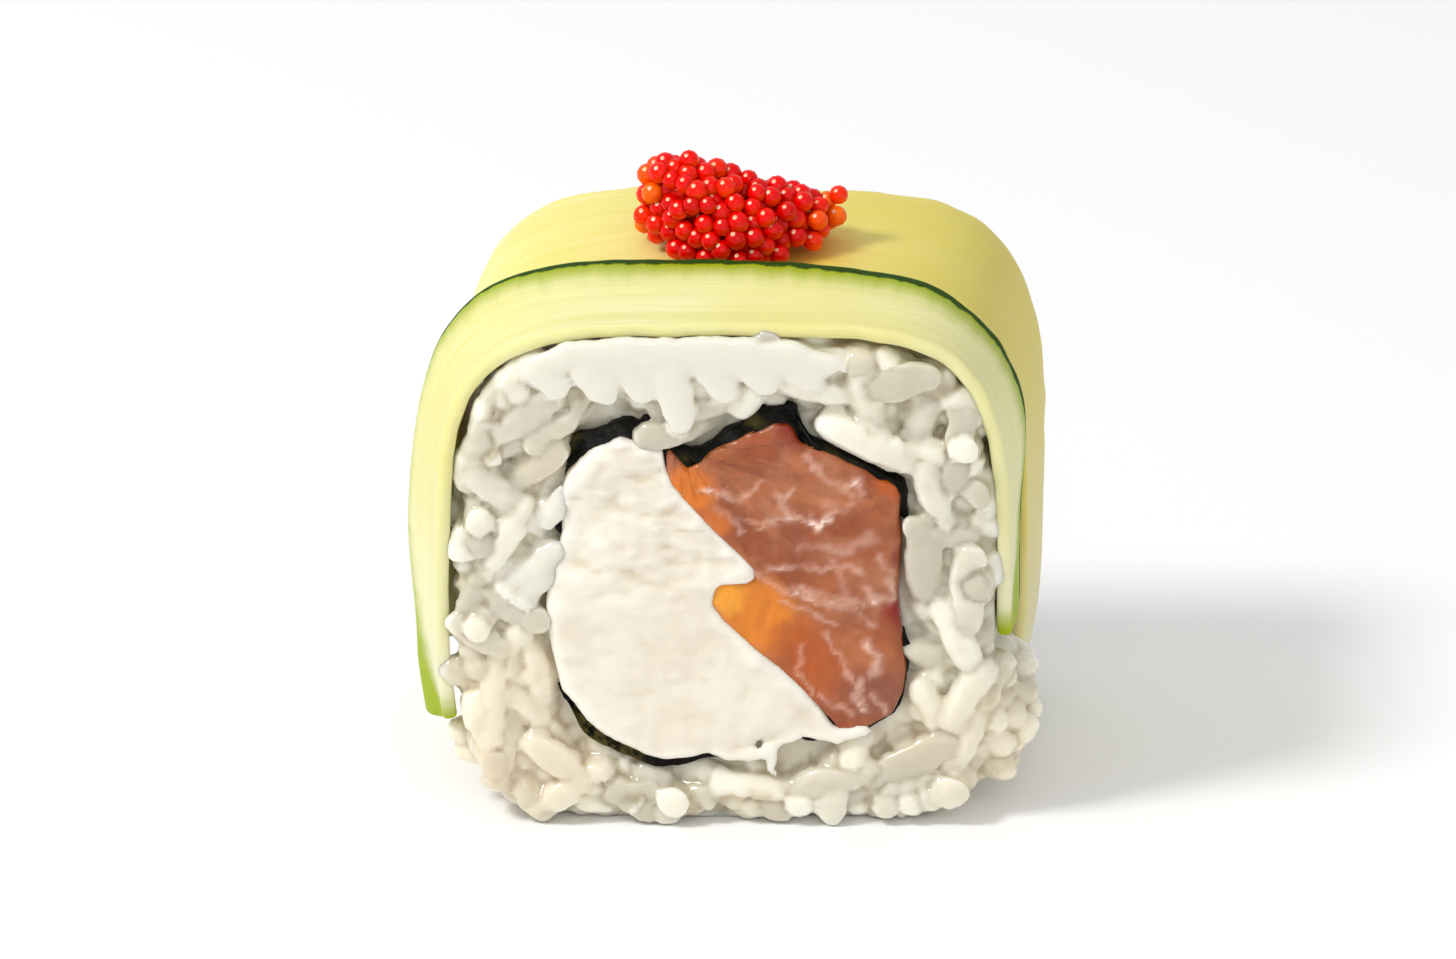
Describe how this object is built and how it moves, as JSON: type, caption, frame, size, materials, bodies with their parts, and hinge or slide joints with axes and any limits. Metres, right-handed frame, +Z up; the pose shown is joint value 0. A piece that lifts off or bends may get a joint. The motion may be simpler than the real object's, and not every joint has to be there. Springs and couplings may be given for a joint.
{
  "type": "philadelphia roll piece",
  "caption": "Cut piece of an inside-out sushi roll: rice ring round a nori sleeve of cream cheese and salmon, cucumber strips draped over it, a heap of red roe on top.",
  "frame": {"origin": "middle of the bounding box's footprint, on the surface the piece stands on", "axes": "+Z up, +Y along the roll's axis from the cut face that is seen to the rear one, +X to the right when the seen face is looked at"},
  "size_m": [0.0438, 0.0268, 0.0446],
  "materials": {
    "rice": "moist, slightly translucent grains",
    "nori": "nearly black dried seaweed",
    "cream_cheese": "soft and smeared",
    "salmon": "moist, with pale streaks of fat",
    "cucumber": "moist pale flesh with a green skin edge",
    "roe": "wet and translucent"
  },
  "bodies": {
    "root": {"rice": "rice", "nori": "nori", "cream_cheese": "cream_cheese", "salmon": "salmon", "cucumber_front": "cucumber", "cucumber_rear": "cucumber", "roe": "roe"}
  },
  "joints": []
}
